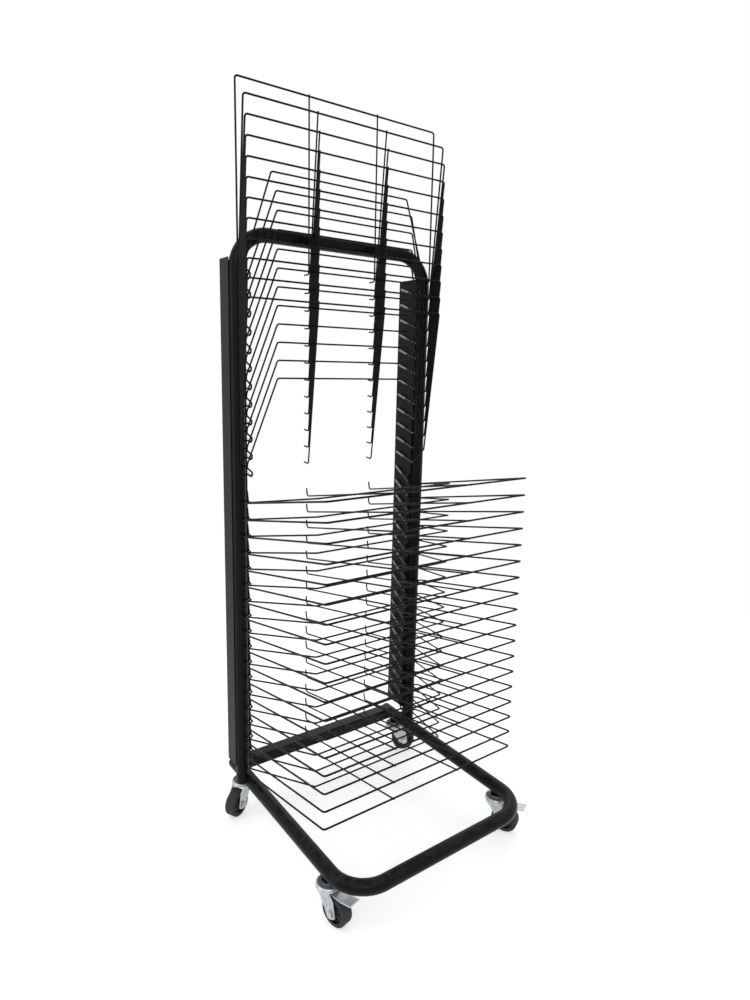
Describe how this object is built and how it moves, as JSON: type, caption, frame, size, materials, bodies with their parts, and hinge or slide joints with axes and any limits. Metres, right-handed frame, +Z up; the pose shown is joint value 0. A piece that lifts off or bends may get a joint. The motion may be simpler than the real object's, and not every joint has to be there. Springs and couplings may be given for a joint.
{
  "type": "wire shelf drying rack",
  "caption": "Mobile art drying rack: hinged wire shelves on a bent-tube frame with swivel casters, upper shelves folded up and lower ones ready for sheets of wet paper.",
  "frame": {"origin": "on the floor under the middle of the rack's outline", "axes": "+Z up, +X to the right of somebody who faces the upright frame from the open side, -Y towards the open front where the sheets go in"},
  "size_m": [0.4708, 0.4366, 1.3242],
  "materials": {
    "black_powder_coat": "glossy black powder coat on steel tube and sheet",
    "shelf_wire": "satin black coating on steel wire",
    "spring_steel": "bright close-wound spring steel",
    "zinc_plate": "bright zinc plate",
    "tyre_rubber": "dark grey rubber",
    "hub_plastic": "moulded black plastic",
    "plug_plastic": "moulded black plastic"
  },
  "bodies": {
    "root": {"base_tube": "black_powder_coat", "upright_tube": "black_powder_coat", "rear_crossbar": "black_powder_coat", "tube_end_plugs": "plug_plastic", "channel_left": "black_powder_coat", "channel_right": "black_powder_coat", "springs_left": "spring_steel", "springs_right": "spring_steel", "caster_mount_bosses": "black_powder_coat", "caster_stems": "zinc_plate", "caster_races": "zinc_plate", "caster_kingpins": "zinc_plate"},
    "shelf_01": {"wire_shelf_01": "shelf_wire"},
    "shelf_02": {"wire_shelf_02": "shelf_wire"},
    "shelf_03": {"wire_shelf_03": "shelf_wire"},
    "shelf_04": {"wire_shelf_04": "shelf_wire"},
    "shelf_05": {"wire_shelf_05": "shelf_wire"},
    "shelf_06": {"wire_shelf_06": "shelf_wire"},
    "shelf_07": {"wire_shelf_07": "shelf_wire"},
    "shelf_08": {"wire_shelf_08": "shelf_wire"},
    "shelf_09": {"wire_shelf_09": "shelf_wire"},
    "shelf_10": {"wire_shelf_10": "shelf_wire"},
    "shelf_11": {"wire_shelf_11": "shelf_wire"},
    "shelf_12": {"wire_shelf_12": "shelf_wire"},
    "shelf_13": {"wire_shelf_13": "shelf_wire"},
    "shelf_14": {"wire_shelf_14": "shelf_wire"},
    "shelf_15": {"wire_shelf_15": "shelf_wire"},
    "shelf_16": {"wire_shelf_16": "shelf_wire"},
    "shelf_17": {"wire_shelf_17": "shelf_wire"},
    "shelf_18": {"wire_shelf_18": "shelf_wire"},
    "shelf_19": {"wire_shelf_19": "shelf_wire"},
    "shelf_20": {"wire_shelf_20": "shelf_wire"},
    "shelf_21": {"wire_shelf_21": "shelf_wire"},
    "shelf_22": {"wire_shelf_22": "shelf_wire"},
    "shelf_23": {"wire_shelf_23": "shelf_wire"},
    "shelf_24": {"wire_shelf_24": "shelf_wire"},
    "shelf_25": {"wire_shelf_25": "shelf_wire"},
    "shelf_26": {"wire_shelf_26": "shelf_wire"},
    "shelf_27": {"wire_shelf_27": "shelf_wire"},
    "shelf_28": {"wire_shelf_28": "shelf_wire"},
    "shelf_29": {"wire_shelf_29": "shelf_wire"},
    "shelf_30": {"wire_shelf_30": "shelf_wire"},
    "caster_front_left": {"caster_fork_front_left": "zinc_plate", "caster_axle_front_left": "zinc_plate"},
    "wheel_front_left": {"caster_hub_front_left": "hub_plastic", "caster_tyre_front_left": "tyre_rubber"},
    "brake_front_left": {"brake_pedal_front_left": "zinc_plate"},
    "caster_front_right": {"caster_fork_front_right": "zinc_plate", "caster_axle_front_right": "zinc_plate"},
    "wheel_front_right": {"caster_hub_front_right": "hub_plastic", "caster_tyre_front_right": "tyre_rubber"},
    "brake_front_right": {"brake_pedal_front_right": "zinc_plate"},
    "caster_rear_left": {"caster_fork_rear_left": "zinc_plate", "caster_axle_rear_left": "zinc_plate"},
    "wheel_rear_left": {"caster_hub_rear_left": "hub_plastic", "caster_tyre_rear_left": "tyre_rubber"},
    "caster_rear_right": {"caster_fork_rear_right": "zinc_plate", "caster_axle_rear_right": "zinc_plate"},
    "wheel_rear_right": {"caster_hub_rear_right": "hub_plastic", "caster_tyre_rear_right": "tyre_rubber"}
  },
  "joints": [
    {"name": "hinge_shelf_01", "type": "hinge", "parent": "root", "child": "shelf_01", "pos_m": [0, 0.15725, 1.0161], "axis": [-1, 0, 0], "range_deg": [-79.58, 0]},
    {"name": "hinge_shelf_02", "type": "hinge", "parent": "root", "child": "shelf_02", "pos_m": [0, 0.15725, 0.9856], "axis": [-1, 0, 0], "range_deg": [-74.15, 0]},
    {"name": "hinge_shelf_03", "type": "hinge", "parent": "root", "child": "shelf_03", "pos_m": [0, 0.15725, 0.9551], "axis": [-1, 0, 0], "range_deg": [-73.02, 0]},
    {"name": "hinge_shelf_04", "type": "hinge", "parent": "root", "child": "shelf_04", "pos_m": [0, 0.15725, 0.9246], "axis": [-1, 0, 0], "range_deg": [-72.78, 0]},
    {"name": "hinge_shelf_05", "type": "hinge", "parent": "root", "child": "shelf_05", "pos_m": [0, 0.15725, 0.8941], "axis": [-1, 0, 0], "range_deg": [-72.73, 0]},
    {"name": "hinge_shelf_06", "type": "hinge", "parent": "root", "child": "shelf_06", "pos_m": [0, 0.15725, 0.8636], "axis": [-1, 0, 0], "range_deg": [-72.72, 0]},
    {"name": "hinge_shelf_07", "type": "hinge", "parent": "root", "child": "shelf_07", "pos_m": [0, 0.15725, 0.8331], "axis": [-1, 0, 0], "range_deg": [-72.72, 0]},
    {"name": "hinge_shelf_08", "type": "hinge", "parent": "root", "child": "shelf_08", "pos_m": [0, 0.15725, 0.8026], "axis": [-1, 0, 0], "range_deg": [-72.72, 0]},
    {"name": "hinge_shelf_09", "type": "hinge", "parent": "root", "child": "shelf_09", "pos_m": [0, 0.15725, 0.7721], "axis": [-1, 0, 0], "range_deg": [-72.72, 0]},
    {"name": "hinge_shelf_10", "type": "hinge", "parent": "root", "child": "shelf_10", "pos_m": [0, 0.15725, 0.7416], "axis": [-1, 0, 0], "range_deg": [-72.72, 0]},
    {"name": "hinge_shelf_11", "type": "hinge", "parent": "root", "child": "shelf_11", "pos_m": [0, 0.15725, 0.7111], "axis": [-1, 0, 0], "range_deg": [-72.72, 0]},
    {"name": "hinge_shelf_12", "type": "hinge", "parent": "root", "child": "shelf_12", "pos_m": [0, 0.15725, 0.6806], "axis": [-1, 0, 0], "range_deg": [-72.72, 0]},
    {"name": "hinge_shelf_13", "type": "hinge", "parent": "root", "child": "shelf_13", "pos_m": [0, 0.15725, 0.6501], "axis": [-1, 0, 0], "range_deg": [0, 72.69]},
    {"name": "hinge_shelf_14", "type": "hinge", "parent": "root", "child": "shelf_14", "pos_m": [0, 0.15725, 0.6196], "axis": [-1, 0, 0], "range_deg": [0, 72.69]},
    {"name": "hinge_shelf_15", "type": "hinge", "parent": "root", "child": "shelf_15", "pos_m": [0, 0.15725, 0.5891], "axis": [-1, 0, 0], "range_deg": [0, 72.69]},
    {"name": "hinge_shelf_16", "type": "hinge", "parent": "root", "child": "shelf_16", "pos_m": [0, 0.15725, 0.5586], "axis": [-1, 0, 0], "range_deg": [0, 72.69]},
    {"name": "hinge_shelf_17", "type": "hinge", "parent": "root", "child": "shelf_17", "pos_m": [0, 0.15725, 0.5281], "axis": [-1, 0, 0], "range_deg": [0, 72.69]},
    {"name": "hinge_shelf_18", "type": "hinge", "parent": "root", "child": "shelf_18", "pos_m": [0, 0.15725, 0.4976], "axis": [-1, 0, 0], "range_deg": [0, 72.69]},
    {"name": "hinge_shelf_19", "type": "hinge", "parent": "root", "child": "shelf_19", "pos_m": [0, 0.15725, 0.4671], "axis": [-1, 0, 0], "range_deg": [0, 72.69]},
    {"name": "hinge_shelf_20", "type": "hinge", "parent": "root", "child": "shelf_20", "pos_m": [0, 0.15725, 0.4366], "axis": [-1, 0, 0], "range_deg": [0, 72.69]},
    {"name": "hinge_shelf_21", "type": "hinge", "parent": "root", "child": "shelf_21", "pos_m": [0, 0.15725, 0.4061], "axis": [-1, 0, 0], "range_deg": [0, 72.69]},
    {"name": "hinge_shelf_22", "type": "hinge", "parent": "root", "child": "shelf_22", "pos_m": [0, 0.15725, 0.3756], "axis": [-1, 0, 0], "range_deg": [0, 72.69]},
    {"name": "hinge_shelf_23", "type": "hinge", "parent": "root", "child": "shelf_23", "pos_m": [0, 0.15725, 0.3451], "axis": [-1, 0, 0], "range_deg": [0, 72.69]},
    {"name": "hinge_shelf_24", "type": "hinge", "parent": "root", "child": "shelf_24", "pos_m": [0, 0.15725, 0.3146], "axis": [-1, 0, 0], "range_deg": [0, 72.69]},
    {"name": "hinge_shelf_25", "type": "hinge", "parent": "root", "child": "shelf_25", "pos_m": [0, 0.15725, 0.2841], "axis": [-1, 0, 0], "range_deg": [0, 72.69]},
    {"name": "hinge_shelf_26", "type": "hinge", "parent": "root", "child": "shelf_26", "pos_m": [0, 0.15725, 0.2536], "axis": [-1, 0, 0], "range_deg": [0, 72.69]},
    {"name": "hinge_shelf_27", "type": "hinge", "parent": "root", "child": "shelf_27", "pos_m": [0, 0.15725, 0.2231], "axis": [-1, 0, 0], "range_deg": [0, 72.69]},
    {"name": "hinge_shelf_28", "type": "hinge", "parent": "root", "child": "shelf_28", "pos_m": [0, 0.15725, 0.1926], "axis": [-1, 0, 0], "range_deg": [0, 72.69]},
    {"name": "hinge_shelf_29", "type": "hinge", "parent": "root", "child": "shelf_29", "pos_m": [0, 0.15725, 0.1621], "axis": [-1, 0, 0], "range_deg": [0, 72.69]},
    {"name": "hinge_shelf_30", "type": "hinge", "parent": "root", "child": "shelf_30", "pos_m": [0, 0.15725, 0.1316], "axis": [-1, 0, 0], "range_deg": [0, 72.69]},
    {"name": "swivel_front_left", "type": "hinge", "parent": "root", "child": "caster_front_left", "pos_m": [-0.192, -0.13675, 0.06], "axis": [0, 0, 1], "continuous": true},
    {"name": "roll_front_left", "type": "hinge", "parent": "caster_front_left", "child": "wheel_front_left", "pos_m": [-0.18784, -0.15631, 0.025], "axis": [0.9781, 0.2079, 0], "continuous": true},
    {"name": "brake_front_left", "type": "hinge", "parent": "caster_front_left", "child": "brake_front_left", "pos_m": [-0.1893, -0.14947, 0.0536], "axis": [0.9781, 0.2079, 0], "range_deg": [0, 7.4]},
    {"name": "swivel_front_right", "type": "hinge", "parent": "root", "child": "caster_front_right", "pos_m": [0.192, -0.13675, 0.06], "axis": [0, 0, 1], "continuous": true},
    {"name": "roll_front_right", "type": "hinge", "parent": "caster_front_right", "child": "wheel_front_right", "pos_m": [0.20014, -0.15502, 0.025], "axis": [0.9135, 0.4067, 0], "continuous": true},
    {"name": "brake_front_right", "type": "hinge", "parent": "caster_front_right", "child": "brake_front_right", "pos_m": [0.19729, -0.14863, 0.0536], "axis": [0.9135, 0.4067, 0], "range_deg": [0, 7.4]},
    {"name": "swivel_rear_left", "type": "hinge", "parent": "root", "child": "caster_rear_left", "pos_m": [-0.192, 0.18125, 0.06], "axis": [0, 0, 1], "continuous": true},
    {"name": "roll_rear_left", "type": "hinge", "parent": "caster_rear_left", "child": "wheel_rear_left", "pos_m": [-0.20966, 0.17186, 0.025], "axis": [0.4695, -0.8829, 0], "continuous": true},
    {"name": "swivel_rear_right", "type": "hinge", "parent": "root", "child": "caster_rear_right", "pos_m": [0.192, 0.18125, 0.06], "axis": [0, 0, 1], "continuous": true},
    {"name": "roll_rear_right", "type": "hinge", "parent": "caster_rear_right", "child": "wheel_rear_right", "pos_m": [0.20966, 0.17186, 0.025], "axis": [0.4695, 0.8829, 0], "continuous": true}
  ],
  "couplings": [
    {"joint": "hinge_shelf_02", "follows": "hinge_shelf_01", "ratio": 0.93157},
    {"joint": "hinge_shelf_03", "follows": "hinge_shelf_01", "ratio": 0.91732},
    {"joint": "hinge_shelf_04", "follows": "hinge_shelf_01", "ratio": 0.91434},
    {"joint": "hinge_shelf_05", "follows": "hinge_shelf_01", "ratio": 0.91372},
    {"joint": "hinge_shelf_06", "follows": "hinge_shelf_01", "ratio": 0.91359},
    {"joint": "hinge_shelf_07", "follows": "hinge_shelf_01", "ratio": 0.91356},
    {"joint": "hinge_shelf_08", "follows": "hinge_shelf_01", "ratio": 0.91356},
    {"joint": "hinge_shelf_09", "follows": "hinge_shelf_01", "ratio": 0.91356},
    {"joint": "hinge_shelf_10", "follows": "hinge_shelf_01", "ratio": 0.91356},
    {"joint": "hinge_shelf_11", "follows": "hinge_shelf_01", "ratio": 0.91356},
    {"joint": "hinge_shelf_12", "follows": "hinge_shelf_01", "ratio": 0.91356},
    {"joint": "hinge_shelf_14", "follows": "hinge_shelf_13", "ratio": 1},
    {"joint": "hinge_shelf_15", "follows": "hinge_shelf_13", "ratio": 1},
    {"joint": "hinge_shelf_16", "follows": "hinge_shelf_13", "ratio": 1},
    {"joint": "hinge_shelf_17", "follows": "hinge_shelf_13", "ratio": 1},
    {"joint": "hinge_shelf_18", "follows": "hinge_shelf_13", "ratio": 1},
    {"joint": "hinge_shelf_19", "follows": "hinge_shelf_13", "ratio": 1},
    {"joint": "hinge_shelf_20", "follows": "hinge_shelf_13", "ratio": 1},
    {"joint": "hinge_shelf_21", "follows": "hinge_shelf_13", "ratio": 1},
    {"joint": "hinge_shelf_22", "follows": "hinge_shelf_13", "ratio": 1},
    {"joint": "hinge_shelf_23", "follows": "hinge_shelf_13", "ratio": 1},
    {"joint": "hinge_shelf_24", "follows": "hinge_shelf_13", "ratio": 1},
    {"joint": "hinge_shelf_25", "follows": "hinge_shelf_13", "ratio": 1},
    {"joint": "hinge_shelf_26", "follows": "hinge_shelf_13", "ratio": 1},
    {"joint": "hinge_shelf_27", "follows": "hinge_shelf_13", "ratio": 1},
    {"joint": "hinge_shelf_28", "follows": "hinge_shelf_13", "ratio": 1},
    {"joint": "hinge_shelf_29", "follows": "hinge_shelf_13", "ratio": 1},
    {"joint": "hinge_shelf_30", "follows": "hinge_shelf_13", "ratio": 1}
  ]
}
